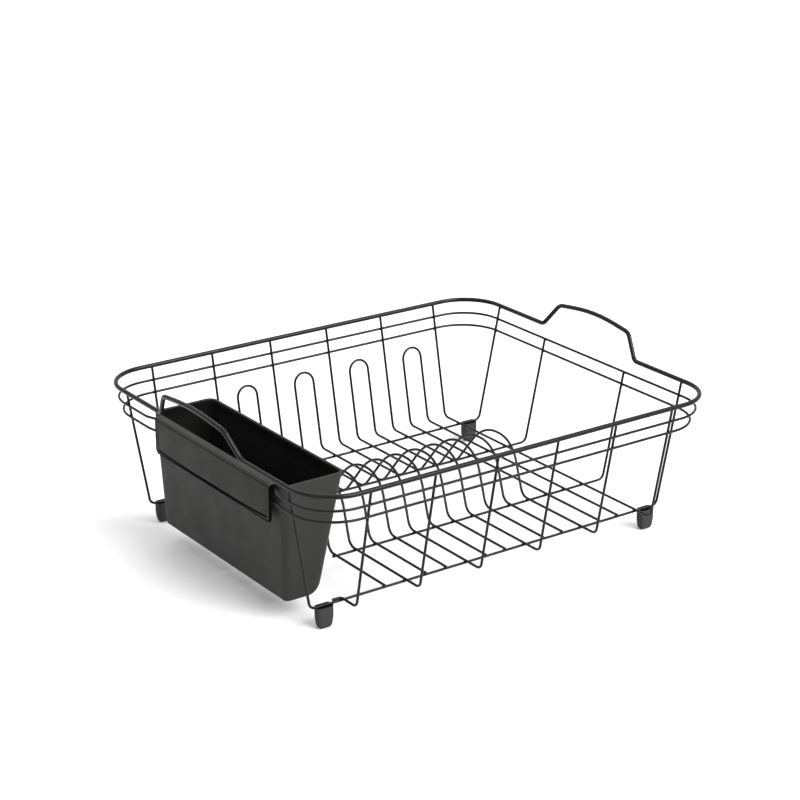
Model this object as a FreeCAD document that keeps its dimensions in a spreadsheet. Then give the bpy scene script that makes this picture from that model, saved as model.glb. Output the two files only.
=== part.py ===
import FreeCAD, Part
import Sketcher
import math
import os
from FreeCAD import Placement, Rotation, Vector

# Dish drying rack: a welded basket of coated steel wire on four push-on feet, with a moulded
# cutlery caddy hooked over the upper ring at its left end.
# Millimetres. X runs along the rack, with the caddy at -X; -Y is the front; +Z is up.
# The origin is on the floor under the middle of the rack.

SIZES = {
    # rim and rings
    "rim_length": 451.0,          # between rod centres, along X
    "rim_width": 382.2,           # between rod centres, along Y
    "rim_height": 142.7,          # rod centre above the floor
    "rim_rod": 4.5,
    "corner_radius": 43.0,
    "wire_rod": 2.5,
    "weld_bite": 0.2,             # how far two crossing wires sink into each other
    "rim_end_bite": 1.0,          # the same where a long wire ends at the rim
    "rim_end_drop": 1.5,          # a wire's end below the centre of the rim
    "ring_upper_drop": 14.0,      # below the rim
    "ring_lower_drop": 26.0,
    "ring_upper_corner": 41.0,
    "ring_lower_corner": 44.0,
    "joggle_x": -219.3,           # the rings step inward behind the caddy's flap
    "joggle_start": 15.0,         # beyond each end of the flap
    "joggle_end": 4.0,
    "joggle_bend": 12.0,
    # arched grip in the middle of each short side of the rim
    "grip_foot": 71.3,            # half the width where it leaves the rim
    "grip_shoulder": 53.3,        # half the width at the top of its legs
    "grip_shoulder_rise": 23.3,
    "grip_crown_rise": 30.0,
    "grip_lean": 0.28,            # outward, per unit of height
    "grip_foot_bend": 7.5,
    "grip_shoulder_bend": 11.0,
    "grip_crown_bend": 240.0,
    # base
    "base_height": 21.0,          # centre of the long wires above the floor
    "outer_wire_y": 142.0,
    "inner_wire_y": 62.0,
    "base_left": 202.6,           # corner of the base at the caddy end
    "base_right": 197.3,
    "base_front": 165.0,          # corner of the base at the front and the back
    "wall_slope": 0.2,            # outward per unit of height, front and back
    "left_slope": 0.17,
    "right_slope": 0.2126,
    "wire_bend": 7.0,
    # cross wires and the hoops that hold plates
    "cross_pitch": 22.6,
    "first_cross_x": -124.3,
    "cross_overhang": 1.5,        # past the outer long wire
    "hoop_foot": 54.7,            # half the width at the base
    "hoop_head": 23.5,
    "hoop_rise": 47.0,
    "hoop_lean": 0.22,            # towards +X, per unit of height
    "hoop_foot_bend": 13.5,
    "hoop_head_bend": 40.0,
    "loop_rise": 82.0,            # top of the tall back loops above the long wires
    "inner_end_rise": 1.0,        # end of an inner long wire above the upper ring's centre
    "stub_hook_inset": 0.6,       # inside the outer long wire
    "stub_hook_length": 9.0,      # along the outer long wire
    "stub_hook_bend": 3.5,
    # feet
    "foot_left_x": -188.1,
    "foot_right_x": 183.8,
    "foot_length": 16.5,
    "foot_width": 9.5,
    "foot_sole_length": 11.5,
    "foot_sole_width": 7.5,
    "foot_cover": 0.3,            # above the centre of the wire, which snaps into an open groove
    "foot_corner": 3.0,
    "foot_round": 1.2,
    "foot_bore_gap": 0.05,
    # caddy
    "caddy_wall": 2.0,
    "caddy_middle_y": -9.0,
    "caddy_top_length": 228.0,
    "caddy_sole_length": 216.4,
    "caddy_top_outer": -216.4,
    "caddy_top_inner": -150.5,
    "caddy_sole_outer": -211.3,
    "caddy_sole_inner": -174.0,
    "caddy_top_height": 132.6,
    "caddy_sole_height": 19.0,
    "caddy_top_corner": 9.0,
    "caddy_sole_corner": 7.0,
    "caddy_sole_round": 4.0,
    "caddy_mouth_round": 0.6,
    "flap_middle_y": -11.3,
    "flap_length": 201.0,
    "flap_depth": 36.0,
    "flap_wall": 1.8,
    "flap_gap": 0.3,              # round the upper ring
    "flap_corner": 3.5,
    "flap_fold_round": 2.0,
    "drain_length": 22.0,
    "drain_width": 4.0,
    "drain_corner": 1.5,
    "drain_pitch": 36.0,
}

HOOPED = range(1, 12)             # cross wires that carry a hoop
FULL = (2, 5, 8, 11, 14)          # cross wires that run up both walls to the rim
PAIRED = ((3, 4), (6, 7), (9, 10), (12, 13))   # cross wires joined by a tall back loop
STUB = -1                         # the wall wire left of the caddy space, which has no base part
DRAIN_SLOTS = 5
OVERCUT = 1                       # how far a cut begins and ends outside the solid

doc = FreeCAD.newDocument("dish_drying_rack")
sheet = doc.addObject("Spreadsheet::Sheet", "Sizes")
for row, (alias, value) in enumerate(SIZES.items(), start=1):
    sheet.set("A%d" % row, alias)
    sheet.set("B%d" % row, str(value))
    sheet.setAlias("B%d" % row, alias)
doc.recompute()


class Sheet:
    """Reads a driving dimension by its alias."""

    def __getattr__(self, alias):
        return float(sheet.get(alias))


size = Sheet()
subparts = []


def cell(formula):
    """An expression in which each word that is an alias becomes a cell of the sheet."""
    words = formula.split(" ")
    return " ".join("Sizes." + word if word in SIZES else word for word in words)


# ---------------------------------------------------------------- places worked out from the sheet

RIM_X = size.rim_length / 2
RIM_Y = size.rim_width / 2
BASE_Z = size.base_height
CROSS_Z = BASE_Z + size.wire_rod - size.weld_bite
UPPER_Z = size.rim_height - size.ring_upper_drop
LOWER_Z = size.rim_height - size.ring_lower_drop
WIRE_STEP = size.wire_rod - size.weld_bite              # between the centres of two welded wires
RIM_END_INSET = (size.rim_rod + size.wire_rod) / 2 - size.rim_end_bite


def wall_y(height):
    """Distance of the front and back wall wires from the middle plane."""
    return size.base_front + size.wall_slope * (height - BASE_Z)


def left_x(height):
    return -size.base_left - size.left_slope * (height - BASE_Z)


def right_x(height):
    return size.base_right + size.right_slope * (height - BASE_Z)


def cross_x(number):
    return size.first_cross_x + (number - 1) * size.cross_pitch


# ---------------------------------------------------------------------------------- bent wire

def bent_path(corners, closed=False):
    """A wire through corners given as (point, bend radius), with a tangent arc at each bend."""
    points = [Vector(*point) for point, _ in corners]
    radii = [radius for _, radius in corners]
    count = len(points)
    entries, exits, arcs = [], [], []
    for i, point in enumerate(points):
        if radii[i] == 0:
            entries.append(point)
            exits.append(point)
            arcs.append(None)
            continue
        back = (points[i - 1] - point).normalize()
        ahead = (points[(i + 1) % count] - point).normalize()
        half_angle = back.getAngle(ahead) / 2
        setback = radii[i] / math.tan(half_angle)
        middle = (back + ahead).normalize() * (radii[i] / math.sin(half_angle) - radii[i])
        entries.append(point + back * setback)
        exits.append(point + ahead * setback)
        arcs.append(Part.Arc(entries[-1], point + middle, exits[-1]).toShape())
    edges = []
    for i in range(count):
        if arcs[i]:
            edges.append(arcs[i])
        if i + 1 < count or closed:
            ahead = entries[(i + 1) % count]
            if exits[i].distanceToPoint(ahead) > 1e-3:
                edges.append(Part.LineSegment(exits[i], ahead).toShape())
    return Part.Wire(edges)


def wire_piece(label, corners, rod="wire_rod", closed=False):
    """A round rod swept along a bent path."""
    path = doc.addObject("Part::Feature", label + "_path")
    path.Shape = bent_path(corners, closed)
    first = path.Shape.OrderedEdges[0]
    start = path.Shape.OrderedVertexes[0].Point
    tangent = first.tangentAt(first.FirstParameter)
    section = doc.addObject("Part::Circle", label + "_section")
    section.setExpression("Radius", cell(rod + " / 2"))
    section.Placement = Placement(start, Rotation(Vector(0, 0, 1), tangent))
    sweep = doc.addObject("Part::Sweep", label)
    sweep.Label = label
    sweep.Sections = [section]
    sweep.Spine = (path, ["Edge%d" % (i + 1) for i in range(len(path.Shape.Edges))])
    sweep.Solid = True
    sweep.Frenet = False
    subparts.append(sweep)
    return sweep


def rounded_loop(left, right, depth, height, radius):
    """Corners of a closed rounded rectangle, starting in the middle of its front."""
    return [
        ((0, -depth, height), 0),
        ((right, -depth, height), radius),
        ((right, depth, height), radius),
        ((left, depth, height), radius),
        ((left, -depth, height), radius),
    ]


def make_rim():
    """The rim rod, with an arched grip that leans outward on each short side."""
    height = size.rim_height
    corners = rounded_loop(-RIM_X, RIM_X, RIM_Y, height, size.corner_radius)

    def grip(side):
        """The right grip runs from front to back, and the left one from back to front."""
        def corner(y, rise, bend):
            return ((side * (RIM_X + size.grip_lean * rise), side * y, height + rise), bend)

        return [
            corner(-size.grip_foot, 0, size.grip_foot_bend),
            corner(-size.grip_shoulder, size.grip_shoulder_rise, size.grip_shoulder_bend),
            corner(0, size.grip_crown_rise, size.grip_crown_bend),
            corner(size.grip_shoulder, size.grip_shoulder_rise, size.grip_shoulder_bend),
            corner(size.grip_foot, 0, size.grip_foot_bend),
        ]

    path = corners[:2] + grip(1) + corners[2:4] + grip(-1) + corners[4:]
    wire_piece("rim", path, "rim_rod", closed=True)


def make_ring(label, height, corner):
    """A closed ring round the outside of the wall wires, stepped inward behind the caddy's flap."""
    left = left_x(height) - WIRE_STEP
    right = right_x(height) + WIRE_STEP
    depth = wall_y(height) + WIRE_STEP
    corners = rounded_loop(left, right, depth, height, corner)
    step = []
    for side in (1, -1):
        flap_end = size.flap_middle_y + side * size.flap_length / 2
        outside = ((left, flap_end + side * size.joggle_start, height), size.joggle_bend)
        inside = ((size.joggle_x, flap_end + side * size.joggle_end, height), size.joggle_bend)
        step += [outside, inside] if side > 0 else [inside, outside]
    wire_piece(label, corners[:4] + step + corners[4:], closed=True)


def make_outer_long_wire(label, side):
    """Runs from the rim down the left wall, along the base and up the right wall to the rim."""
    y = side * size.outer_wire_y
    end_z = size.rim_height - size.rim_end_drop
    wire_piece(label, [
        ((-RIM_X + RIM_END_INSET, y, end_z), 0),
        ((left_x(BASE_Z), y, BASE_Z), size.wire_bend),
        ((right_x(BASE_Z), y, BASE_Z), size.wire_bend),
        ((RIM_X - RIM_END_INSET, y, end_z), 0),
    ])


def make_inner_long_wire(label, side):
    """Starts under the first cross wire and ends on the upper ring at the right."""
    y = side * size.inner_wire_y
    end_z = UPPER_Z + size.inner_end_rise
    wire_piece(label, [
        ((cross_x(1) - size.wire_rod / 2, y, BASE_Z), 0),
        ((right_x(BASE_Z), y, BASE_Z), size.wire_bend),
        ((right_x(end_z), y, end_z), 0),
    ])


def wall_run(number, side):
    """From a wire's end under the rim down the wall to the bend at the base."""
    end_z = size.rim_height - size.rim_end_drop
    x = cross_x(number)
    return [
        ((x, side * wall_y(end_z), end_z), 0),
        ((x, side * wall_y(CROSS_Z), CROSS_Z), size.wire_bend),
    ]


def short_end(number, side):
    """The plain end of a cross wire, just past the outer long wire."""
    return [((cross_x(number), side * (size.outer_wire_y + size.cross_overhang), CROSS_Z), 0)]


def hoop(number, side):
    """The hoop of a cross wire, walked from the given side to the other."""
    if number not in HOOPED:
        return []
    x = cross_x(number)
    head_x = x + size.hoop_lean * size.hoop_rise
    head_z = CROSS_Z + size.hoop_rise
    return [
        ((x, side * size.hoop_foot, CROSS_Z), size.hoop_foot_bend),
        ((head_x, side * size.hoop_head, head_z), size.hoop_head_bend),
        ((head_x, -side * size.hoop_head, head_z), size.hoop_head_bend),
        ((x, -side * size.hoop_foot, CROSS_Z), size.hoop_foot_bend),
    ]


def make_first_cross_wire():
    wire_piece("cross_wire_01", short_end(1, -1) + hoop(1, -1) + short_end(1, 1))


def make_full_cross_wire(number):
    """Runs from the rim down the front wall, over the base and up the back wall to the rim."""
    path = wall_run(number, -1) + hoop(number, -1) + wall_run(number, 1)[::-1]
    wire_piece("wall_wire_%02d" % number, path)


def make_paired_cross_wire(first, second):
    """Two cross wires bent from one rod, joined by a tall loop that leans with the back wall."""
    bend = size.wire_bend
    loop_bend = size.cross_pitch / 2 - 0.01                  # all but a half circle
    loop_z = BASE_Z + size.loop_rise
    path = short_end(first, -1) + hoop(first, -1)
    path += [
        ((cross_x(first), wall_y(CROSS_Z), CROSS_Z), bend),
        ((cross_x(first), wall_y(loop_z), loop_z), loop_bend),
        ((cross_x(second), wall_y(loop_z), loop_z), loop_bend),
        ((cross_x(second), wall_y(CROSS_Z), CROSS_Z), bend),
    ]
    path += hoop(second, 1) + short_end(second, -1)
    wire_piece("loop_wire_%02d_%02d" % (first, second), path)


def make_wall_stub(label, side):
    """A wall wire beside the caddy, whose end turns along the outer long wire it is welded to."""
    x = cross_x(STUB)
    hook_y = side * (size.outer_wire_y - size.stub_hook_inset)
    wire_piece(label, wall_run(STUB, side) + [
        ((x, hook_y, CROSS_Z), size.stub_hook_bend),
        ((x - size.stub_hook_length, hook_y, CROSS_Z), 0),
    ])


# ---------------------------------------------------------------------------- moulded pieces

def origin_plane(body, role):
    """An origin plane or axis of a body."""
    return next(item for item in body.Origin.OriginFeatures if item.Role == role)


def edges_within(feature, x=None, z=None, along=None):
    """Names of a feature's edges that lie within the given ranges, run along one axis, or both."""
    slack = 0.01
    names = []
    for i, edge in enumerate(feature.Shape.Edges):
        box = edge.BoundBox
        if x and (box.XMin < x[0] - slack or box.XMax > x[1] + slack):
            continue
        if z and (box.ZMin < z[0] - slack or box.ZMax > z[1] + slack):
            continue
        spans = {"x": box.XLength, "y": box.YLength, "z": box.ZLength}
        if along and max(spans[axis] for axis in spans if axis != along) > slack:
            continue
        names.append("Edge%d" % (i + 1))
    return names


def fillet(body, name, base, edges, radius):
    rounding = body.newObject("PartDesign::Fillet", name)
    rounding.Base = (base, edges)
    rounding.setExpression("Radius", cell(radius))
    doc.recompute()
    return rounding


def polygon(body, name, corners):
    """A closed sketch on the XZ plane; each corner is a pair of formulas."""
    sketch = body.newObject("Sketcher::SketchObject", name)
    sketch.AttachmentSupport = [(origin_plane(body, "XZ_Plane"), "")]
    sketch.MapMode = "FlatFace"
    points = [Vector(evaluate(across), evaluate(up), 0) for across, up in corners]
    for i, point in enumerate(points):
        sketch.addGeometry(Part.LineSegment(point, points[(i + 1) % len(points)]), False)
    for i, (across, up) in enumerate(corners):
        sketch.addConstraint(Sketcher.Constraint("Coincident", i - 1 if i else len(points) - 1, 2, i, 1))
        drive(sketch, Sketcher.Constraint("DistanceX", -1, 1, i, 1, points[i].x), across)
        drive(sketch, Sketcher.Constraint("DistanceY", -1, 1, i, 1, points[i].y), up)
    return sketch


def rounded_rectangle(body, name, box, height):
    """A sketch of a rounded rectangle; box holds formulas for its edges and corner radius."""
    sketch = body.newObject("Sketcher::SketchObject", name)
    sketch.AttachmentSupport = [(origin_plane(body, "XY_Plane"), "")]
    sketch.MapMode = "FlatFace"
    sketch.setExpression(".AttachmentOffset.Base.z", cell(height))
    value = {edge: evaluate(formula) for edge, formula in box.items()}
    west, east, south, north = (value[edge] for edge in ("west", "east", "south", "north"))
    radius = value["radius"]
    spots = [
        (east - radius, south + radius, -90),
        (east - radius, north - radius, 0),
        (west + radius, north - radius, 90),
        (west + radius, south + radius, 180),
    ]
    arcs = []
    for x, y, start in spots:
        circle = Part.Circle(Vector(x, y, 0), Vector(0, 0, 1), radius)
        first, last = math.radians(start), math.radians(start + 90)
        arcs.append(sketch.addGeometry(Part.ArcOfCircle(circle, first, last), False))
    lines = []
    for i in range(4):
        tail = sketch.getPoint(arcs[i], 2)
        head = sketch.getPoint(arcs[(i + 1) % 4], 1)
        lines.append(sketch.addGeometry(Part.LineSegment(tail, head), False))
    add = sketch.addConstraint
    for i in range(4):
        add(Sketcher.Constraint("Tangent", arcs[i], 2, lines[i], 1))
        add(Sketcher.Constraint("Tangent", lines[i], 2, arcs[(i + 1) % 4], 1))
        if i:
            add(Sketcher.Constraint("Equal", arcs[0], arcs[i]))
    add(Sketcher.Constraint("Vertical", lines[0]))
    add(Sketcher.Constraint("Horizontal", lines[1]))
    add(Sketcher.Constraint("Vertical", lines[2]))
    add(Sketcher.Constraint("Horizontal", lines[3]))
    drive(sketch, Sketcher.Constraint("Radius", arcs[0], radius), box["radius"])
    drive(sketch, Sketcher.Constraint("DistanceX", -1, 1, lines[0], 1, east), box["east"])
    drive(sketch, Sketcher.Constraint("DistanceX", -1, 1, lines[2], 1, west), box["west"])
    drive(sketch, Sketcher.Constraint("DistanceY", -1, 1, lines[1], 1, north), box["north"])
    drive(sketch, Sketcher.Constraint("DistanceY", -1, 1, lines[3], 1, south), box["south"])
    return sketch


def evaluate(formula):
    """The value of a formula of aliases and numbers."""
    return float(sheet.evalExpression(formula))


def drive(sketch, constraint, formula):
    """Adds a constraint and binds it to the sheet."""
    index = sketch.addConstraint(constraint)
    sketch.setExpression("Constraints[%d]" % index, cell(formula))


def make_foot(label, foot_x, side):
    """A tapered foot, pushed over an outer long wire."""
    body = doc.addObject("PartDesign::Body", label)
    body.Label = label
    y = "%d * outer_wire_y" % side

    def footprint(name, length, width, height):
        box = {
            "west": "%s - %s / 2" % (foot_x, length),
            "east": "%s + %s / 2" % (foot_x, length),
            "south": "%s - %s / 2" % (y, width),
            "north": "%s + %s / 2" % (y, width),
            "radius": "foot_corner",
        }
        return rounded_rectangle(body, name, box, height)

    top = footprint(label + "_top", "foot_length", "foot_width", "base_height + foot_cover")
    sole = footprint(label + "_sole", "foot_sole_length", "foot_sole_width", "0")
    loft = body.newObject("PartDesign::AdditiveLoft", label + "_taper")
    loft.Profile = top
    loft.Sections = [sole]
    doc.recompute()
    top_z = BASE_Z + size.foot_cover
    edges = edges_within(loft, z=(0, 0)) + edges_within(loft, z=(top_z, top_z))
    fillet(body, label + "_rounding", loft, edges, "foot_round")
    groove_sketch = body.newObject("Sketcher::SketchObject", label + "_groove_sketch")
    groove_sketch.AttachmentSupport = [(origin_plane(body, "YZ_Plane"), "")]
    groove_sketch.MapMode = "FlatFace"
    centre = Vector(side * size.outer_wire_y, BASE_Z, 0)
    radius = size.wire_rod / 2 + size.foot_bore_gap
    groove_sketch.addGeometry(Part.Circle(centre, Vector(0, 0, 1), radius), False)
    drive(groove_sketch, Sketcher.Constraint("Radius", 0, radius), "wire_rod / 2 + foot_bore_gap")
    drive(groove_sketch, Sketcher.Constraint("DistanceX", -1, 1, 0, 3, centre.x), y)
    drive(groove_sketch, Sketcher.Constraint("DistanceY", -1, 1, 0, 3, centre.y), "base_height")
    groove = body.newObject("PartDesign::Pocket", label + "_groove")
    groove.Profile = groove_sketch
    groove.Type = "ThroughAll"
    groove.Midplane = True
    doc.recompute()
    subparts.append(body)


def make_caddy():
    """A tapered open box with a drained floor and a flap that folds out over the upper ring."""
    body = doc.addObject("PartDesign::Body", "caddy")
    body.Label = "caddy"

    def outline(name, end, height, wall):
        """The caddy's outline at its top or its sole, or the cavity's with wall as its inset."""
        box = {
            "west": "caddy_%s_outer + %s" % (end, wall),
            "east": "caddy_%s_inner - %s" % (end, wall),
            "south": "caddy_middle_y - caddy_%s_length / 2 + %s" % (end, wall),
            "north": "caddy_middle_y + caddy_%s_length / 2 - %s" % (end, wall),
            "radius": "caddy_%s_corner - %s" % (end, wall),
        }
        return rounded_rectangle(body, name, box, height)

    shell_top = outline("caddy_outer_top", "top", "caddy_top_height", "0")
    shell_sole = outline("caddy_outer_sole", "sole", "caddy_sole_height", "0")
    shell = body.newObject("PartDesign::AdditiveLoft", "caddy_shell")
    shell.Profile = shell_top
    shell.Sections = [shell_sole]
    doc.recompute()
    sole_z = size.caddy_sole_height
    sole_edges = edges_within(shell, z=(sole_z, sole_z))
    fillet(body, "caddy_sole_rounding", shell, sole_edges, "caddy_sole_round")

    # the flap: a folded strip in profile, padded along the outer wall
    ring_z = "( rim_height - ring_upper_drop )"
    under = ring_z + " + wire_rod / 2 + flap_gap"
    inner = "joggle_x - wire_rod / 2 - flap_gap"
    outer = inner + " - flap_wall"
    top = "caddy_top_height"
    bottom = "caddy_top_height - flap_depth"
    root = "caddy_top_outer + caddy_wall / 2"
    profile = polygon(body, "caddy_flap_profile", [
        (root, under), (inner, under), (inner, bottom), (outer, bottom), (outer, top), (root, top),
    ])
    profile.setExpression(".AttachmentOffset.Base.z", cell("-1 * flap_middle_y"))
    flap = body.newObject("PartDesign::Pad", "caddy_flap")
    flap.Profile = profile
    flap.setExpression("Length", cell("flap_length"))
    flap.Midplane = True
    doc.recompute()
    outer_x, inner_x = evaluate(outer), evaluate(inner)
    bottom_z, top_z = evaluate(bottom), evaluate(top)
    flap_corners = edges_within(flap, x=(outer_x, inner_x), z=(bottom_z, bottom_z), along="x")
    flap_rounding = fillet(body, "caddy_flap_rounding", flap, flap_corners, "flap_corner")
    fold = edges_within(flap_rounding, x=(outer_x, outer_x), z=(top_z, top_z), along="y")
    fillet(body, "caddy_fold_rounding", flap_rounding, fold, "flap_fold_round")

    # the cavity, which leaves the wall and the floor
    cavity_top = outline("caddy_inner_top", "top", "caddy_top_height + 0.01", "caddy_wall")
    floor = "caddy_sole_height + caddy_wall"
    cavity_sole = outline("caddy_inner_sole", "sole", floor, "caddy_wall")
    cavity = body.newObject("PartDesign::SubtractiveLoft", "caddy_cavity")
    cavity.Profile = cavity_top
    cavity.Sections = [cavity_sole]
    doc.recompute()
    floor_z = sole_z + size.caddy_wall
    floor_edges = edges_within(cavity, z=(floor_z, floor_z))
    inside = fillet(body, "caddy_floor_rounding", cavity, floor_edges, "caddy_sole_round - caddy_wall")
    mouth_z = size.caddy_top_height
    clear_of_fold = (size.caddy_top_outer + size.caddy_wall / 4, 0)
    mouth_edges = edges_within(inside, x=clear_of_fold, z=(mouth_z, mouth_z))
    fillet(body, "caddy_mouth_rounding", inside, mouth_edges, "caddy_mouth_round")

    # a row of drain slots across the floor
    middle_x = "( caddy_sole_outer + caddy_sole_inner ) / 2"
    first_y = "caddy_middle_y - %d * drain_pitch" % (DRAIN_SLOTS // 2)
    slot = rounded_rectangle(body, "caddy_drain_slot", {
        "west": middle_x + " - drain_length / 2",
        "east": middle_x + " + drain_length / 2",
        "south": first_y + " - drain_width / 2",
        "north": first_y + " + drain_width / 2",
        "radius": "drain_corner",
    }, "caddy_sole_height - %d" % OVERCUT)
    drain = body.newObject("PartDesign::Pocket", "caddy_drain")
    drain.Profile = slot
    drain.Reversed = True
    drain.setExpression("Length", cell("caddy_wall + 2 * %d" % OVERCUT))
    doc.recompute()
    row = body.newObject("PartDesign::LinearPattern", "caddy_drain_row")
    row.Originals = [drain]
    row.Direction = (origin_plane(body, "Y_Axis"), [""])
    row.setExpression("Length", cell("%d * drain_pitch" % (DRAIN_SLOTS - 1)))
    row.Occurrences = DRAIN_SLOTS
    body.Tip = row
    doc.recompute()
    subparts.append(body)


make_rim()
make_ring("ring_upper", UPPER_Z, size.ring_upper_corner)
make_ring("ring_lower", LOWER_Z, size.ring_lower_corner)
make_outer_long_wire("long_wire_front", -1)
make_outer_long_wire("long_wire_back", 1)
make_inner_long_wire("inner_wire_front", -1)
make_inner_long_wire("inner_wire_back", 1)
make_first_cross_wire()
for number in FULL:
    make_full_cross_wire(number)
for pair in PAIRED:
    make_paired_cross_wire(*pair)
make_wall_stub("wall_stub_front", -1)
make_wall_stub("wall_stub_back", 1)
for end in ("left", "right"):
    make_foot("foot_front_" + end, "foot_%s_x" % end, -1)
    make_foot("foot_back_" + end, "foot_%s_x" % end, 1)
make_caddy()
doc.recompute()

for item in doc.Objects:
    if "Invalid" in item.State or "Error" in item.State:
        raise RuntimeError("%s failed: %s" % (item.Name, item.State))
for piece in subparts:
    shape = piece.Shape
    if shape.isNull() or not shape.isValid() or len(shape.Solids) != 1:
        raise RuntimeError("%s has no valid single solid" % piece.Label)

os.makedirs("parts", exist_ok=True)
for piece in subparts:
    piece.Shape.exportStep(os.path.join("parts", piece.Label + ".step"))
    print("%-18s %10.1f mm3" % (piece.Label, piece.Shape.Volume))
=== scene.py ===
import math
import random

import bmesh
import bpy
from mathutils import Matrix, Vector


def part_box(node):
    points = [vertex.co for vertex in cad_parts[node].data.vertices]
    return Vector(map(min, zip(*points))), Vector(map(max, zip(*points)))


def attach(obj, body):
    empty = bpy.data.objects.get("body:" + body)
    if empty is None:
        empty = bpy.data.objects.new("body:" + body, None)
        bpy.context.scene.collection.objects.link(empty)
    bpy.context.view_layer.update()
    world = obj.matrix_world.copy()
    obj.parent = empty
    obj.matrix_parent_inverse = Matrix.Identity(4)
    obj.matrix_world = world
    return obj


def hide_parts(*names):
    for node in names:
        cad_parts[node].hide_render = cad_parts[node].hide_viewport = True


# Dish drying rack: a basket of black coated wire on four rubber feet, with a charcoal cutlery
# caddy hooked over the upper ring. Blender works in metres; the sizes below are millimetres.
# X runs along the rack, with the caddy at -X; -Y is the front; +Z is up.

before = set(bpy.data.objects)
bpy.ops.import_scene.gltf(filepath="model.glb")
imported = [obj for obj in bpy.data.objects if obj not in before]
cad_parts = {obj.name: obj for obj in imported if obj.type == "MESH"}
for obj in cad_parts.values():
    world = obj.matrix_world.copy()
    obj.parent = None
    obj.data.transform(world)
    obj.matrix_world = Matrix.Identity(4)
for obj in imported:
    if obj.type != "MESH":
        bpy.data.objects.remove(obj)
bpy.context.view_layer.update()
scene = bpy.context.scene
chance = random.Random(7)

MM = 0.001
OVERCUT = 1.0                     # how far a cut begins and ends outside the solid
MERGE_DISTANCE = 0.002            # two points nearer than this become one

# the wire basket's driving dimensions
ROD = 2.5
RIM_ROD = 4.5
WELD_BITE = 0.2                   # how far two crossing wires sink into each other
BASE_Z = 21.0                     # centre of the long wires
RIM_X = 225.5                     # centre of the rim rod at the short sides
RIM_Z = 142.7
UPPER_Z = RIM_Z - 14.0
LOWER_Z = RIM_Z - 26.0
OUTER_WIRE_Y = 142.0
INNER_WIRE_Y = 62.0
WALL_FOOT, WALL_SLOPE = 165.0, 0.2               # a wall's distance from the middle at BASE_Z,
LEFT_FOOT, LEFT_SLOPE = 202.6, 0.17              # and how far it leans out for each mm of height
RIGHT_FOOT, RIGHT_SLOPE = 197.3, 0.2126
CROSS_PITCH = 22.6
FIRST_CROSS_X = -124.3
CROSS_OVERHANG = 1.5
CROSS_WIRES = range(1, 15)
STUB = -1                         # the wall wire beside the caddy, hooked onto the outer long wire
WALL_WIRES = (STUB, 2, 5, 8, 11, 14)
STUB_HOOK_Y = OUTER_WIRE_Y - 0.6  # the hook lies a little inside the middle of the outer wire
STUB_HOOK_LENGTH = 9.0
WIRE_STEP = ROD - WELD_BITE       # between the middles of two crossing wires
CROSS_Z = BASE_Z + WIRE_STEP
RIM_END_DROP = 1.5                # a wire's end below the centre of the rim
INNER_END_RISE = 1.0              # an inner long wire's end above the upper ring


def span(node):
    """A CAD node's lowest and highest corners, in millimetres."""
    low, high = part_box(node)
    return low / MM, high / MM


def wall_y(height):
    return WALL_FOOT + WALL_SLOPE * (height - BASE_Z)


def left_x(height):
    return -LEFT_FOOT - LEFT_SLOPE * (height - BASE_Z)


def right_x(height):
    return RIGHT_FOOT + RIGHT_SLOPE * (height - BASE_Z)


def cross_x(number):
    return FIRST_CROSS_X + (number - 1) * CROSS_PITCH


# ------------------------------------------------------------------------------- mesh helpers

def add_piece(name, vertices, faces, material, slot):
    """A mesh piece from vertices in millimetres."""
    mesh = bpy.data.meshes.new(name)
    mesh.from_pydata([Vector(vertex) * MM for vertex in vertices], [], faces)
    piece = bpy.data.objects.new(name, mesh)
    scene.collection.objects.link(piece)
    mesh.materials.append(material)
    tidy_normals(piece)
    return piece


def tidy_normals(piece):
    """Merges doubled points and turns every face outward."""
    shape = bmesh.new()
    shape.from_mesh(piece.data)
    bmesh.ops.remove_doubles(shape, verts=shape.verts, dist=MERGE_DISTANCE * MM)
    bmesh.ops.recalc_face_normals(shape, faces=shape.faces)
    shape.to_mesh(piece.data)
    shape.free()


def smooth(piece, angle):
    """Smooth shading that stays crisp at edges sharper than the angle."""
    piece.data.shade_smooth()
    piece.data.set_sharp_from_angle(angle=math.radians(angle))


def apply_modifiers(piece):
    graph = bpy.context.evaluated_depsgraph_get()
    result = bpy.data.meshes.new_from_object(piece.evaluated_get(graph))
    piece.modifiers.clear()
    piece.data = result


def combine(piece, tool, operation):
    """Joins a tool's solid to a piece, or cuts it away."""
    step = piece.modifiers.new("combine", "BOOLEAN")
    step.operation = operation
    step.object = tool
    step.solver = "EXACT"
    apply_modifiers(piece)
    bpy.data.objects.remove(tool)


def round_edges(piece, width, angle, segments):
    """Rounds every edge sharper than the angle."""
    step = piece.modifiers.new("round", "BEVEL")
    step.width = width * MM
    step.segments = segments
    step.limit_method = "ANGLE"
    step.angle_limit = math.radians(angle)
    apply_modifiers(piece)


def loft(rings):
    """Faces between rings of equal length, with a face over each end."""
    count = len(rings[0])
    vertices = [point for ring in rings for point in ring]
    faces = []
    for i in range(len(rings) - 1):
        for j in range(count):
            k = (j + 1) % count
            faces.append((i * count + j, i * count + k, (i + 1) * count + k, (i + 1) * count + j))
    faces.append(tuple(range(count))[::-1])
    last = (len(rings) - 1) * count
    faces.append(tuple(range(last, last + count)))
    return vertices, faces


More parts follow.
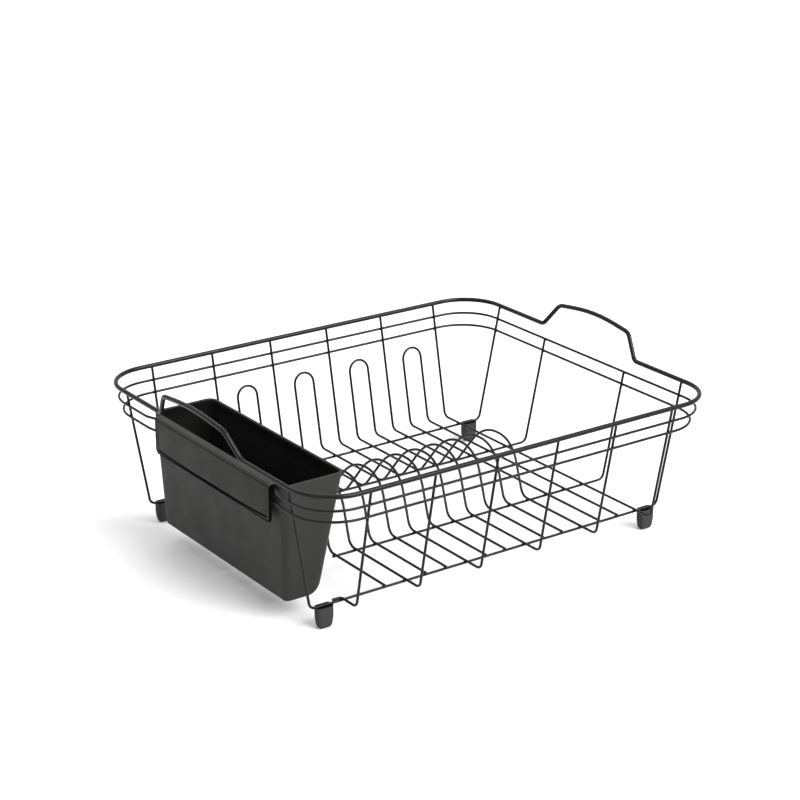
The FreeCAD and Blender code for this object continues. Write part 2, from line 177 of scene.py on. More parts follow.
def rounded_rectangle(west, east, south, north, height, west_radius, east_radius=None, bow=0.0):
    """A ring of points round a rectangle; bow draws the middle of each side inward."""
    arc_steps = 10
    side_steps = (18, 6, 18, 6)                  # along the east, north, west and south sides
    if east_radius is None:
        east_radius = west_radius
    corners = (
        (east, south, east_radius, -90),
        (east, north, east_radius, 0),
        (west, north, west_radius, 90),
        (west, south, west_radius, 180),
    )
    arcs = []
    for x, y, radius, start in corners:
        centre_x = x - math.copysign(radius, x - (west + east) / 2)
        centre_y = y - math.copysign(radius, y - (south + north) / 2)
        arc = []
        for step in range(arc_steps + 1):
            angle = math.radians(start + 90 * step / arc_steps)
            across, along = radius * math.cos(angle), radius * math.sin(angle)
            arc.append(Vector((centre_x + across, centre_y + along, height)))
        arcs.append(arc)
    ring = []
    for i, arc in enumerate(arcs):
        ring += arc
        tail, head = arc[-1], arcs[(i + 1) % 4][0]
        inward = Vector((0, 0, 1)).cross(head - tail).normalized()
        for step in range(1, side_steps[i]):
            share = step / side_steps[i]
            ring.append(tail.lerp(head, share) + inward * bow * math.sin(math.pi * share) ** 2)
    return [tuple(point) for point in ring]


# ---------------------------------------------------------------------------------- materials

def new_material(name):
    material = bpy.data.materials.new(name)
    material.use_nodes = True
    tree = material.node_tree
    return material, tree, tree.nodes["Principled BSDF"]


def noise(tree, scale, detail, stretch=(1, 1, 1)):
    """Noise fixed to the object, scale in features per metre."""
    place = tree.nodes.new("ShaderNodeTexCoord")
    mapping = tree.nodes.new("ShaderNodeMapping")
    mapping.inputs["Scale"].default_value = stretch
    tree.links.new(place.outputs["Object"], mapping.inputs["Vector"])
    texture = tree.nodes.new("ShaderNodeTexNoise")
    texture.inputs["Scale"].default_value = scale
    texture.inputs["Detail"].default_value = detail
    tree.links.new(mapping.outputs["Vector"], texture.inputs["Vector"])
    return texture.outputs["Fac"]


def between(tree, factor, low, high, start=0.3, end=0.7):
    """Turns noise into a value from low to high."""
    spread = tree.nodes.new("ShaderNodeMapRange")
    spread.inputs["From Min"].default_value = start
    spread.inputs["From Max"].default_value = end
    spread.inputs["To Min"].default_value = low
    spread.inputs["To Max"].default_value = high
    tree.links.new(factor, spread.inputs["Value"])
    return spread.outputs["Result"]


def tint(tree, factor, first, second):
    """Mixes two colours by a factor."""
    mix = tree.nodes.new("ShaderNodeMix")
    mix.data_type = "RGBA"
    mix.inputs["A"].default_value = (*first, 1)
    mix.inputs["B"].default_value = (*second, 1)
    tree.links.new(factor, mix.inputs["Factor"])
    return mix.outputs["Result"]


def bump(tree, height, strength, distance, under=None):
    """A bump whose distance is in millimetres."""
    step = tree.nodes.new("ShaderNodeBump")
    step.inputs["Strength"].default_value = strength
    step.inputs["Distance"].default_value = distance * MM
    tree.links.new(height, step.inputs["Height"])
    if under:
        tree.links.new(under, step.inputs["Normal"])
    return step.outputs["Normal"]


def coating_material():
    """Black satin powder coat with a fine orange peel."""
    material, tree, shader = new_material("black_powder_coat")
    cloud = between(tree, noise(tree, 14, 3), 0, 1)
    colour = tint(tree, cloud, (0.0025, 0.0025, 0.0027), (0.0045, 0.0045, 0.0047))
    tree.links.new(colour, shader.inputs["Base Color"])
    rough = between(tree, noise(tree, 160, 3), 0.18, 0.27)
    tree.links.new(rough, shader.inputs["Roughness"])
    peel = bump(tree, noise(tree, 850, 2), 0.22, 0.06)
    grain = bump(tree, noise(tree, 3200, 1), 0.10, 0.02, peel)
    tree.links.new(grain, shader.inputs["Normal"])
    shader.inputs["Specular IOR Level"].default_value = 0.2
    return material


def moulded_plastic(name, dark, light, roughness, grain_depth, gloss):
    """Moulded plastic: a fine spark-eroded grain, faint flow marks and handling scuffs."""
    material, tree, shader = new_material(name)
    flow = between(tree, noise(tree, 9, 4, (1, 1, 0.35)), 0, 1)
    tree.links.new(tint(tree, flow, dark, light), shader.inputs["Base Color"])
    patches = between(tree, noise(tree, 45, 4), roughness - 0.06, roughness + 0.07)
    tree.links.new(patches, shader.inputs["Roughness"])
    grain = bump(tree, noise(tree, 1900, 3), 0.35, grain_depth)
    scuffs = bump(tree, noise(tree, 70, 5, (1, 0.12, 2.5)), 0.06, 0.08, grain)
    tree.links.new(scuffs, shader.inputs["Normal"])
    shader.inputs["Specular IOR Level"].default_value = gloss
    return material


def floor_material():
    material, tree, shader = new_material("pale_floor")
    cloud = between(tree, noise(tree, 3, 2), 0, 1)
    shade = tint(tree, cloud, (0.72, 0.72, 0.72), (0.74, 0.74, 0.74))
    tree.links.new(shade, shader.inputs["Base Color"])
    shader.inputs["Roughness"].default_value = 0.7
    shader.inputs["Specular IOR Level"].default_value = 0.1
    return material


COATING = coating_material()
CADDY_PLASTIC = moulded_plastic(
    "charcoal_plastic", dark=(0.021, 0.021, 0.0205), light=(0.027, 0.027, 0.026),
    roughness=0.50, grain_depth=0.05, gloss=0.12)
# The flap's face: a darker, less glossy copy of the caddy's plastic; the darkness is painted shade.
FLAP_SHADED_PLASTIC = moulded_plastic(
    "charcoal_plastic_painted_flap_shade", dark=(0.017, 0.017, 0.0165), light=(0.022, 0.022, 0.021),
    roughness=0.45, grain_depth=0.05, gloss=0.07)
# The inside: a smoother, darker copy of the caddy's plastic; the darkness is painted shade.
CADDY_INSIDE_SHADE = moulded_plastic(
    "smooth_charcoal_plastic_painted_inside_shade", dark=(0.0045, 0.0045, 0.0045), light=(0.0075, 0.0075, 0.0072),
    roughness=0.36, grain_depth=0.01, gloss=0.12)
# Near-black painted shade: the flap's edge and its long pressed line, and the tops of the feet
# where the wire sits.
PAINTED_SHADE_BLACK = moulded_plastic(
    "near_black_painted_shade", dark=(0.001, 0.001, 0.001), light=(0.002, 0.002, 0.002),
    roughness=0.6, grain_depth=0.02, gloss=0.01)
CADDY_MATERIALS = [CADDY_PLASTIC, CADDY_INSIDE_SHADE, FLAP_SHADED_PLASTIC, PAINTED_SHADE_BLACK]
FOOT_RUBBER = moulded_plastic(
    "charcoal_rubber", dark=(0.027, 0.027, 0.027), light=(0.034, 0.034, 0.033),
    roughness=0.62, grain_depth=0.07, gloss=0.12)
FOOT_MATERIALS = [FOOT_RUBBER, PAINTED_SHADE_BLACK]


def coat_wires():
    """The wires keep their CAD shape."""
    for name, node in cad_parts.items():
        if name == "caddy" or name.startswith("foot_"):
            continue
        node.data.materials.clear()
        node.data.materials.append(COATING)


# ------------------------------------------------------------------------- welds and wire ends

BEAD_RADIUS = 1.55
BEAD_THICKNESS = 0.62
BEAD_RADIUS_SPREAD = 0.08         # beads differ from each other by up to these shares
BEAD_THICKNESS_SPREAD = 0.1
BEAD_FULLNESS = 0.8               # an exponent; below 1 the profile is fuller than an ellipse
BEAD_STEPS = 8
HOOK_BEAD_STRETCH = 2.4           # the bead along a stub's hook is this much longer than wide
RIM_BEAD_STRETCH = 1.15
WALL_BEAD_RADIUS, WALL_BEAD_THICKNESS = 1.75, 0.9       # between a wall wire's top and the rim
WALL_BEAD_SHARE = 0.42            # how far along the way from that top to the rim
LONG_BEAD_RADIUS, LONG_BEAD_THICKNESS = 1.7, 0.8        # between an outer long wire and the rim
LONG_BEAD_BITE = 0.15             # how far its middle is inside the rim's surface
LONG_BEAD_DROP = 1.0              # and below the rim's middle
LONG_BEAD_TILT = 0.5              # how far it faces down for each mm that it faces inward
END_BURIED = 0.3                  # a domed end begins this far inside its wire,
END_WAIST = 0.96                  # at this share of the wire's radius
END_RISE = 0.5
END_WIDTH_FULLNESS, END_RISE_FULLNESS = 0.7, 0.8
END_STEPS = 6
TURN_STEPS = 16                   # round a bead or a wire's end


def turned(direction, across=None):
    """A rotation whose Z axis points along the direction, and X axis along across."""
    up = Vector(direction).normalized()
    side = Vector(across) if across else up.orthogonal()
    side = (side - up * side.dot(up)).normalized()
    return Matrix((side, up.cross(side), up)).transposed()


def lathe(profile, place, turn, stretch):
    """Points and faces of a turned shape; its profile is (radius, height) from pole to pole."""
    vertices, faces = [], []
    steps = TURN_STEPS
    inner = profile[1:-1]
    for radius, height in inner:
        for step in range(steps):
            angle = 2 * math.pi * step / steps
            point = Vector((radius * math.cos(angle) * stretch, radius * math.sin(angle), height))
            vertices.append(tuple(Vector(place) + turn @ point))
    for _, height in (profile[0], profile[-1]):
        vertices.append(tuple(Vector(place) + turn @ Vector((0, 0, height))))
    bottom, top = len(vertices) - 2, len(vertices) - 1
    for i in range(len(inner) - 1):
        for j in range(steps):
            k = (j + 1) % steps
            faces.append((i * steps + j, i * steps + k, (i + 1) * steps + k, (i + 1) * steps + j))
    last = (len(inner) - 1) * steps
    for j in range(steps):
        k = (j + 1) % steps
        faces.append((bottom, k, j))
        faces.append((top, last + j, last + k))
    return vertices, faces


def weld_bead(place, direction, along=None, stretch=1.0,
              radius=BEAD_RADIUS, thickness=BEAD_THICKNESS):
    """A flattened bead of squeezed-out steel where two wires meet, thickened by the coating."""
    radius *= chance.uniform(1 - BEAD_RADIUS_SPREAD, 1 + BEAD_RADIUS_SPREAD)
    thickness *= chance.uniform(1 - BEAD_THICKNESS_SPREAD, 1 + BEAD_THICKNESS_SPREAD)
    profile = [(0, -thickness)]
    for step in range(1, BEAD_STEPS):
        angle = math.pi * (step / BEAD_STEPS - 0.5)
        width = radius * math.cos(angle) ** BEAD_FULLNESS
        profile.append((width, thickness * math.sin(angle)))
    profile.append((0, thickness))
    return lathe(profile, place, turned(direction, along), stretch)


def wire_end(place, direction):
    """The coated, slightly domed end of a cut wire."""
    radius = ROD / 2
    profile = [(0, -END_BURIED), (radius * END_WAIST, -END_BURIED)]
    for step in range(END_STEPS):
        angle = math.pi / 2 * step / END_STEPS
        width = radius * math.cos(angle) ** END_WIDTH_FULLNESS
        profile.append((width, END_RISE * math.sin(angle) ** END_RISE_FULLNESS))
    profile.append((0, END_RISE))
    return lathe(profile, place, turned(direction), 1.0)


def joined(shapes):
    """One list of vertices and faces from several."""
    vertices, faces = [], []
    for points, sides in shapes:
        start = len(vertices)
        vertices += points
        faces += [tuple(start + index for index in side) for side in sides]
    return vertices, faces


def base_welds():
    """Each cross wire lies on the four long wires, and each stub's hook lies along an outer one."""
    beads = []
    z = BASE_Z + WIRE_STEP / 2
    for number in CROSS_WIRES:
        for y in (-OUTER_WIRE_Y, -INNER_WIRE_Y, INNER_WIRE_Y, OUTER_WIRE_Y):
            beads.append(weld_bead((cross_x(number), y, z), (0, 0, 1)))
    for side in (-1, 1):
        place = (cross_x(STUB) - STUB_HOOK_LENGTH / 2, side * STUB_HOOK_Y, z)
        beads.append(weld_bead(place, (0, 0, 1), (1, 0, 0), HOOK_BEAD_STRETCH))
    return beads


def wall_welds():
    """The rings pass outside the wall wires, and the wall wires end under the rim."""
    beads = []
    top_z = RIM_Z - RIM_END_DROP
    rim_y = span("rim")[1].y - RIM_ROD / 2
    for side in (-1, 1):
        outward = (0, side, -WALL_SLOPE)
        for number in WALL_WIRES:
            x = cross_x(number)
            for z in (UPPER_Z, LOWER_Z):
                beads.append(weld_bead((x, side * (wall_y(z) + WIRE_STEP / 2), z), outward))
            top = Vector((x, side * wall_y(top_z), top_z))
            towards_rim = Vector((x, side * rim_y, RIM_Z)) - top
            beads.append(weld_bead(
                top + towards_rim * WALL_BEAD_SHARE, towards_rim, (1, 0, 0),
                RIM_BEAD_STRETCH, WALL_BEAD_RADIUS, WALL_BEAD_THICKNESS))
    return beads


def end_welds():
    """The long wires cross the rings at both short sides, and the outer ones end at the rim."""
    beads = []
    rim_inset = RIM_ROD / 2 - LONG_BEAD_BITE
    for side in (-1, 1):
        y = side * OUTER_WIRE_Y
        for z in (UPPER_Z, LOWER_Z):
            beads.append(weld_bead((left_x(z) - WIRE_STEP / 2, y, z), (-1, 0, -LEFT_SLOPE)))
            for wire_y in (y, side * INNER_WIRE_Y):
                place = (right_x(z) + WIRE_STEP / 2, wire_y, z)
                beads.append(weld_bead(place, (1, 0, -RIGHT_SLOPE)))
        for inward in (-1, 1):
            place = (inward * (rim_inset - RIM_X), y, RIM_Z - LONG_BEAD_DROP)
            beads.append(weld_bead(
                place, (inward, 0, -LONG_BEAD_TILT), (0, 1, 0),
                RIM_BEAD_STRETCH, LONG_BEAD_RADIUS, LONG_BEAD_THICKNESS))
    return beads


def wire_ends():
    """Every free end of a wire."""
    ends = []
    reach = OUTER_WIRE_Y + CROSS_OVERHANG
    ends.append(wire_end((cross_x(1), reach, CROSS_Z), (0, 1, 0)))
    for number in CROSS_WIRES:
        if number not in WALL_WIRES:
            ends.append(wire_end((cross_x(number), -reach, CROSS_Z), (0, -1, 0)))
    inner_top = UPPER_Z + INNER_END_RISE
    top_z = RIM_Z - RIM_END_DROP
    for side in (-1, 1):
        inner_y = side * INNER_WIRE_Y
        ends.append(wire_end((cross_x(1) - ROD / 2, inner_y, BASE_Z), (-1, 0, 0)))
        ends.append(wire_end((right_x(inner_top), inner_y, inner_top), (RIGHT_SLOPE, 0, 1)))
        hook_end = (cross_x(STUB) - STUB_HOOK_LENGTH, side * STUB_HOOK_Y, CROSS_Z)
        ends.append(wire_end(hook_end, (-1, 0, 0)))
        for number in WALL_WIRES:
            top = (cross_x(number), side * wall_y(top_z), top_z)
            ends.append(wire_end(top, (0, side * WALL_SLOPE, 1)))
    return ends


def make_welds():
    groups = (
        ("base_welds", base_welds()),
        ("wall_welds", wall_welds()),
        ("end_welds", end_welds()),
        ("wire_ends", wire_ends()),
    )
    for name, shapes in groups:
        vertices, faces = joined(shapes)
        piece = add_piece(name, vertices, faces, COATING, "wire_coating")
        smooth(piece, angle=60)
        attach(piece, "basket")


# --------------------------------------------------------------------------------------- feet

FOOT_LENGTH, FOOT_WIDTH = 16.5, 9.5
FOOT_SOLE_LENGTH, FOOT_SOLE_WIDTH = 12.6, 8.0
FOOT_CORNER = 3.0
FOOT_LEAST_CORNER = 0.6
FOOT_SOLE_ROUND = 2.8
FOOT_TOP_ROUND = 0.7
FOOT_DISH = 0.6                   # how far the middle of the sole stands off the floor
FOOT_DISH_EDGE = 0.5              # how far the dish begins inside the line that stands on the floor
FOOT_TAPER = 0.6                  # the share of the height over which the foot widens
FOOT_SOLE_STEPS, FOOT_SIDE_STEPS, FOOT_TOP_STEPS = 7, 12, 5
FOOT_GROOVE_GAP = 0.06            # between the wire and its groove
FOOT_GROOVE_STEPS = 24
FOOT_EDGE_ROUND = 0.18            # along the edges of the groove


def foot_section(middle, share, inset, height):
    """The foot's outline at a share of its height, inset where its ends are rounded."""
    widening = math.sin(math.pi / 2 * min(1, share / FOOT_TAPER))
    half_length = (FOOT_SOLE_LENGTH + (FOOT_LENGTH - FOOT_SOLE_LENGTH) * widening) / 2 - inset
    half_width = (FOOT_SOLE_WIDTH + (FOOT_WIDTH - FOOT_SOLE_WIDTH) * widening) / 2 - inset
    return rounded_rectangle(
        middle.x - half_length, middle.x + half_length,
        middle.y - half_width, middle.y + half_width,
        height, max(FOOT_LEAST_CORNER, FOOT_CORNER - inset))


def foot_body(middle, top_z):
    """A foot lofted from its sole, which is slightly dished, up to its top."""
    levels = [(FOOT_DISH, FOOT_SOLE_ROUND + FOOT_DISH_EDGE), (0.0, FOOT_SOLE_ROUND)]
    for step in range(1, FOOT_SOLE_STEPS + 1):
        angle = math.pi / 2 * step / FOOT_SOLE_STEPS
        height = FOOT_SOLE_ROUND * (1 - math.cos(angle))
        levels.append((height, FOOT_SOLE_ROUND * (1 - math.sin(angle))))
    side = top_z - FOOT_SOLE_ROUND - FOOT_TOP_ROUND
    for step in range(1, FOOT_SIDE_STEPS):
        levels.append((FOOT_SOLE_ROUND + side * step / FOOT_SIDE_STEPS, 0))
    for step in range(FOOT_TOP_STEPS + 1):
        angle = math.pi / 2 * step / FOOT_TOP_STEPS
        height = top_z - FOOT_TOP_ROUND * (1 - math.sin(angle))
        levels.append((height, FOOT_TOP_ROUND * (1 - math.cos(angle))))
    return loft([foot_section(middle, height / top_z, inset, height) for height, inset in levels])


def foot_groove(low, high, middle_y):
    """The round groove that the long wire snaps into."""
    radius = ROD / 2 + FOOT_GROOVE_GAP
    rings = []
    for x in (low - OVERCUT, high + OVERCUT):
        ring = []
        for step in range(FOOT_GROOVE_STEPS):
            angle = 2 * math.pi * step / FOOT_GROOVE_STEPS
            ring.append((x, middle_y + radius * math.cos(angle), BASE_Z + radius * math.sin(angle)))
        rings.append(ring)
    return loft(rings)


def make_foot(node):
    """A rubber foot, pushed over an outer long wire; its top is dark with near-black painted shade
    where the wire sits.
    """
    low, high = span(node)
    middle = (low + high) / 2
    piece = add_piece(node + "_rubber", *foot_body(middle, high.z), FOOT_RUBBER, "foot_plastic")
    groove = add_piece("groove", *foot_groove(low.x, high.x, middle.y), FOOT_RUBBER, "foot_plastic")
    combine(piece, groove, "DIFFERENCE")
    round_edges(piece, FOOT_EDGE_ROUND, angle=55, segments=2)
    smooth(piece, angle=40)
    # Near-black painted shade along the foot's top, where the wire sits.
    piece.data.materials.append(PAINTED_SHADE_BLACK)
    for face in piece.data.polygons:
        if face.center.z / MM > high.z - FOOT_TOP_ROUND:
            face.material_index = FOOT_MATERIALS.index(PAINTED_SHADE_BLACK)
    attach(piece, "basket")
    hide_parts(node)


# -------------------------------------------------------------------------------------- caddy

CADDY_WALL = 2.0
CADDY_MIDDLE_Y = -9.0
CADDY_TOP_OUTER = -216.4
CADDY_SOLE_OUTER = -211.3
CADDY_SOLE_INNER = -174.0
CADDY_SOLE_LENGTH = 216.4
TOP_CORNERS = (7.5, 9.0)          # outer and inner vertical corners, at the top and at the sole
SOLE_CORNERS = (6.5, 9.0)
LEAST_CORNER = 0.8
SOLE_ROUND = (3.0, 4.0, 10.5)     # along the outer edge, the two ends and the inner edge
CADDY_BOW = 0.5                   # how far the long walls are drawn in
LIP = 0.5                         # how much thicker the wall is at the mouth
LIP_ROUND = 0.9
LIP_DEPTH = 3.0
WALL_STEPS, ROUND_STEPS, LIP_STEPS = 12, 10, 8
FLAP_MIDDLE_Y = -11.3
FLAP_LENGTH = 201.0
FLAP_DEPTH = 36.0
FLAP_WALL = 1.8
FLAP_CORNER = 4.5
FLAP_EDGE_ROUND = 0.6
FLAP_END_ROUND = 0.1
FOLD_ROUND = 1.9
FOLD_STEPS, FLAP_EDGE_STEPS, FLAP_CORNER_STEPS, FLAP_MIDDLE_STEPS = 8, 4, 8, 9
FOLD_LINE_DROP = 0.2              # of the fine line under the fold, below the fold's round
FOLD_LINE_WIDTH = 0.9
FOLD_LINE_DEPTH = 0.35
EDGE_SHADE_BAND = 1.7                   # width of the near-black painted shade round the flap's edge
GROOVE_WIDTH = 1.3                # of the line pressed into the flap's face
GROOVE_DEPTH = 1.1
GROOVE_FLANK = 0.3
GROOVE_LAND = 0.05                # between the line and the painted shade along the edge, in the middle
GROOVE_SAG = 2.4                  # how much nearer to the lower edge the line runs in the middle
END_GROOVE_INSET = 4.9
END_GROOVE_DEPTH = 0.25
LINE_SLACK = 0.02                 # a face this much deeper than the end line is in the long line
BACK_SLACK = 0.04                 # a face this near the flap's back is on it
DRAIN_SLOTS = 5
DRAIN_LENGTH, DRAIN_WIDTH, DRAIN_PITCH = 22.0, 4.0, 36.0
DRAIN_FLARE = 0.5
DRAIN_END_FLAT = 0.1              # half of the flat left between the rounds at a slot's end


def rounding(radius, lift):
    """How far a rounded edge stands in from its side at a height above the edge's lowest point."""
    if lift >= radius:
        return 0.0
    return radius - math.sqrt(radius ** 2 - (radius - lift) ** 2)


def caddy_ring(height, inset, bow=0.0, lift=None):
    """The caddy's outline at a height, inset from its outer face; lift is how far it is above the
    lowest point of a rounded floor."""
    low, high = span("caddy")
    share = (height - low.z) / (high.z - low.z)

    def taper(sole, top):
        return sole + (top - sole) * share

    west_in, end_in, east_in = (
        inset if lift is None else inset + rounding(radius - inset, lift)
        for radius in SOLE_ROUND)
    half = taper(CADDY_SOLE_LENGTH, high.y - low.y) / 2 - end_in
    west_corner, east_corner = (
        max(LEAST_CORNER, taper(sole, top) - end_in)
        for sole, top in zip(SOLE_CORNERS, TOP_CORNERS))
    west = taper(CADDY_SOLE_OUTER, CADDY_TOP_OUTER) + west_in
    east = taper(CADDY_SOLE_INNER, high.x) - east_in
    return rounded_rectangle(
        west, east, CADDY_MIDDLE_Y - half, CADDY_MIDDLE_Y + half,
        height, west_corner, east_corner, bow)


def caddy_skin(floor_z, top_z, inset):
    """Rings from the middle of a rounded floor up to the top of a wall."""
    deepest = max(SOLE_ROUND) - inset
    rings = []
    for step in range(ROUND_STEPS):
        lift = deepest * (1 - math.cos(math.pi / 2 * step / ROUND_STEPS))
        rings.append(caddy_ring(floor_z + lift, inset, lift=lift))
    for step in range(WALL_STEPS + 1):
        share = step / WALL_STEPS
        height = floor_z + deepest + (top_z - floor_z - deepest) * share
        rings.append(caddy_ring(height, inset, CADDY_BOW * math.sin(math.pi * share)))
    return rings


def caddy_shell():
    """Outside, lip and inside of the caddy, and the number of the first face inside it."""
    low, high = span("caddy")
    lip_base = high.z - LIP_ROUND
    rings = caddy_skin(low.z, lip_base, 0)
    lip_width = CADDY_WALL + LIP
    for step in range(1, LIP_STEPS + 1):
        angle = math.pi * step / LIP_STEPS
        inset = lip_width / 2 * (1 - math.cos(angle))
        rings.append(caddy_ring(lip_base + LIP_ROUND * math.sin(angle), inset))
    first_inside = len(rings) - 1
    rings.append(caddy_ring(lip_base - LIP_DEPTH, lip_width))
    rings += caddy_skin(low.z + CADDY_WALL, lip_base - LIP_DEPTH - 2 * LIP, CADDY_WALL)[::-1]
    return loft(rings), first_inside * len(rings[0])


def flap_section(y, low_z, panel_recess, groove_recess, groove_low):
    """The folded strip's outline at one place along the caddy."""
    low, high = span("caddy")
    outer, top = low.x, high.z
    inner = outer + FLAP_WALL
    root = CADDY_TOP_OUTER + CADDY_WALL / 2
    points = [(root, top - FLAP_WALL), (root, top)]
    for step in range(FOLD_STEPS + 1):
        angle = math.radians(90 + 90 * step / FOLD_STEPS)
        x = outer + FOLD_ROUND * (1 + math.cos(angle))
        points.append((x, top - FOLD_ROUND * (1 - math.sin(angle))))
    line_top = top - FOLD_ROUND - FOLD_LINE_DROP
    line_low = line_top - FOLD_LINE_WIDTH
    panel_top = top - 2 * FOLD_ROUND
    groove_top = groove_low + GROOVE_WIDTH
    points += [
        (outer, line_top),
        (outer + FOLD_LINE_DEPTH, line_top - FOLD_LINE_DEPTH / 2),
        (outer + FOLD_LINE_DEPTH, line_low + FOLD_LINE_DEPTH / 2),
        (outer, line_low),
        (outer, panel_top),
        (outer + panel_recess, panel_top - GROOVE_FLANK),
        (outer + panel_recess, groove_top + GROOVE_FLANK),
        (outer + groove_recess, groove_top),
        (outer + groove_recess, groove_low),
        (outer, groove_low - GROOVE_FLANK),
        (outer, low_z + EDGE_SHADE_BAND),
    ]
    for corner, start in ((outer + FLAP_EDGE_ROUND, 180), (inner - FLAP_EDGE_ROUND, 270)):
        for step in range(FLAP_EDGE_STEPS + 1):
            angle = math.radians(start + 90 * step / FLAP_EDGE_STEPS)
            across, up = FLAP_EDGE_ROUND * math.cos(angle), FLAP_EDGE_ROUND * math.sin(angle)
            points.append((corner + across, low_z + FLAP_EDGE_ROUND + up))
    points.append((inner, top - FLAP_WALL))
    return [(x, y, z) for x, z in points]


def flap_half():
    """Places from the flap's end to its middle: (distance from the middle, lift, two recesses)."""
    half = FLAP_LENGTH / 2
    places = []
    for step in range(FLAP_CORNER_STEPS + 1):
        angle = math.pi / 2 * step / FLAP_CORNER_STEPS
        across = half - FLAP_CORNER * (1 - math.cos(angle))
        places.append((across, FLAP_CORNER * (1 - math.sin(angle)), 0.0, 0.0))
    groove = half - END_GROOVE_INSET
    reach = groove - 2 * GROOVE_FLANK - GROOVE_WIDTH
    places += [
        (groove, 0.0, 0.0, 0.0),
        (groove - GROOVE_FLANK, 0.0, END_GROOVE_DEPTH, END_GROOVE_DEPTH),
        (groove - GROOVE_FLANK - GROOVE_WIDTH, 0.0, END_GROOVE_DEPTH, GROOVE_DEPTH),
    ]
    for step in range(FLAP_MIDDLE_STEPS):
        places.append((reach * (1 - step / FLAP_MIDDLE_STEPS), 0.0, 0.0, GROOVE_DEPTH))
    return places


def caddy_flap():
    """The flap that folds out over the upper ring; the line along its lower edge sags in the
    middle."""
    bottom = span("caddy")[1].z - FLAP_DEPTH
    half = flap_half()
    rings = []
    for side, places in ((-1, half), (1, half[::-1])):
        for across, lift, panel_recess, groove_recess in places:
            rise = max(lift, GROOVE_SAG * (2 * across / FLAP_LENGTH) ** 4)
            groove_low = bottom + rise + EDGE_SHADE_BAND + GROOVE_LAND + GROOVE_FLANK
            rings.append(flap_section(
                FLAP_MIDDLE_Y + side * across, bottom + lift,
                panel_recess, groove_recess, groove_low))
    return loft(rings)


def paint_flap_shade(flap):
    """Paints shade on the flap: near-black painted shade along its edge and in its long pressed
    line, a darker copy of the caddy's plastic (painted shade) on the rest of its face, and the
    caddy's plastic on the fold and the back.
    """
    low, high = span("caddy")
    for face in flap.data.polygons:
        centre = face.center / MM
        depth = centre.x - low.x
        past_end = abs(centre.y - FLAP_MIDDLE_Y) - FLAP_LENGTH / 2 + FLAP_CORNER
        past_bottom = high.z - FLAP_DEPTH + FLAP_CORNER - centre.z
        inset = FLAP_CORNER - math.hypot(max(0, past_end), max(0, past_bottom))
        if centre.z > high.z - FOLD_ROUND - FOLD_LINE_DROP or depth > FLAP_WALL - BACK_SLACK:
            surface = CADDY_PLASTIC
        # The edge band and the long pressed line: near-black painted shade.
        elif inset < EDGE_SHADE_BAND or depth > END_GROOVE_DEPTH + LINE_SLACK:
            surface = PAINTED_SHADE_BLACK
        else:
            surface = FLAP_SHADED_PLASTIC
        face.material_index = CADDY_MATERIALS.index(surface)


def drain_cutters():
    """Slots through the floor, flared a little at both faces."""
    floor = span("caddy")[0].z
    middle_x = (CADDY_SOLE_OUTER + CADDY_SOLE_INNER) / 2
    levels = (                                   # a height, and how much wider the slot is there
        (-OVERCUT, DRAIN_FLARE + OVERCUT), (DRAIN_FLARE, 0),
        (CADDY_WALL - DRAIN_FLARE, 0), (CADDY_WALL + OVERCUT, DRAIN_FLARE + OVERCUT),
    )
    cutters = []
    for number in range(DRAIN_SLOTS):
        y = CADDY_MIDDLE_Y + (number - DRAIN_SLOTS // 2) * DRAIN_PITCH
        rings = []
        for height, grow in levels:
            half_length, half_width = DRAIN_LENGTH / 2 + grow, DRAIN_WIDTH / 2 + grow
            rings.append(rounded_rectangle(
                middle_x - half_length, middle_x + half_length,
                y - half_width, y + half_width, floor + height, half_width - DRAIN_END_FLAT))
        cutters.append(loft(rings))
    return cutters


def make_caddy():
    """The caddy and its flap in one piece, with the drain slots cut through the floor."""
    shell, first_inside = caddy_shell()
    piece = add_piece("cutlery_caddy", *shell, CADDY_PLASTIC, "caddy_plastic")
    # The inside gets the darker copy: painted shade.
    for face in piece.data.polygons[first_inside:]:
        face.material_index = CADDY_MATERIALS.index(CADDY_INSIDE_SHADE)
    underside = piece.data.polygons[-2]          # a loft's last two faces are its ends
    underside.material_index = CADDY_MATERIALS.index(CADDY_PLASTIC)
    flap = add_piece("flap", *caddy_flap(), CADDY_PLASTIC, "caddy_plastic")
    for part in (piece, flap):
        for surface in CADDY_MATERIALS[1:]:
            part.data.materials.append(surface)
    round_edges(flap, FLAP_END_ROUND, angle=60, segments=3)
    paint_flap_shade(flap)
    combine(piece, flap, "UNION")
    for cutter in drain_cutters():
        combine(piece, add_piece("cutter", *cutter, CADDY_PLASTIC, "caddy_plastic"), "DIFFERENCE")
    tidy_normals(piece)
    smooth(piece, angle=30)
    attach(piece, "caddy")
    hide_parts("caddy")


# ------------------------------------------------------------------------ stage, light, camera

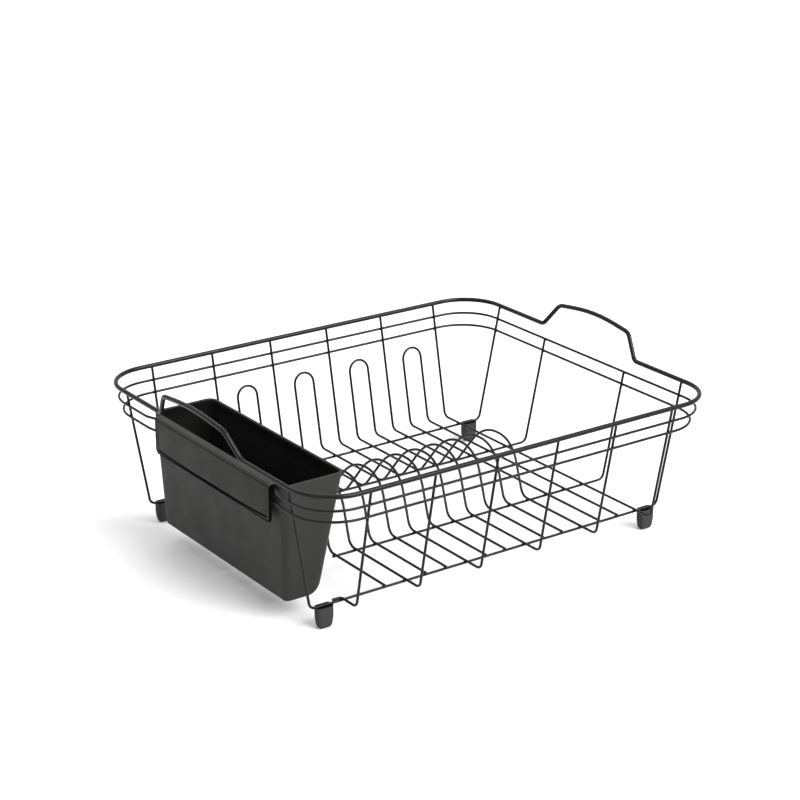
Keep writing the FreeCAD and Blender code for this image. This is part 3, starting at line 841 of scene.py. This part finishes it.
def make_floor():
    half = 8.0                                   # metres
    mesh = bpy.data.meshes.new("floor")
    corners = [(-half, -half, 0), (half, -half, 0), (half, half, 0), (-half, half, 0)]
    mesh.from_pydata(corners, [], [(0, 1, 2, 3)])
    floor = bpy.data.objects.new("floor", mesh)
    scene.collection.objects.link(floor)
    mesh.materials.append(floor_material())


def make_light():
    """A studio dome that is brightest overhead, and a broad soft light from the front right."""
    horizon, overhead = 0.3, 1.75
    towards_key = Vector((0.42, -1.05, 0.95))
    world = bpy.data.worlds.new("studio")
    scene.world = world
    world.use_nodes = True
    tree = world.node_tree
    place = tree.nodes.new("ShaderNodeTexCoord")
    split = tree.nodes.new("ShaderNodeSeparateXYZ")
    tree.links.new(place.outputs["Generated"], split.inputs["Vector"])
    dome = between(tree, split.outputs["Z"], horizon, overhead, 0.0, 1.0)
    tree.links.new(dome, tree.nodes["Background"].inputs["Strength"])
    tree.nodes["Background"].inputs["Color"].default_value = (1, 1, 1, 1)
    light = bpy.data.lights.new("key", "SUN")
    light.energy = 4.1
    light.angle = math.radians(42)
    key = bpy.data.objects.new("key", light)
    scene.collection.objects.link(key)
    key.rotation_euler = towards_key.to_track_quat("Z", "Y").to_euler()
    scene.view_settings.view_transform = "Standard"


def make_camera():
    """Stands at the front left, a little above the rack; lengths here are in metres."""
    azimuth, elevation = math.radians(-35.22), math.radians(20.5)
    distance, aside, above = 2.0716, -0.00522, 0.0569
    target = Vector((0, 0, 0.0679))
    level = Vector((math.sin(azimuth), -math.cos(azimuth), 0))
    back = level * math.cos(elevation) + Vector((0, 0, math.sin(elevation)))
    right = Vector((math.cos(azimuth), math.sin(azimuth), 0))
    up = back.cross(right)
    lens = bpy.data.cameras.new("camera")
    lens.sensor_width = 36
    lens.lens = 96.65
    lens.clip_end = 50
    camera = bpy.data.objects.new("camera", lens)
    scene.collection.objects.link(camera)
    turn = Matrix((right, up, back)).transposed()
    place = target + back * distance + right * aside + up * above
    camera.matrix_world = Matrix.Translation(place) @ turn.to_4x4()
    scene.camera = camera


make_camera()
coat_wires()
make_welds()
for foot in ("foot_front_left", "foot_back_left", "foot_front_right", "foot_back_right"):
    make_foot(foot)
make_caddy()
make_floor()
make_light()
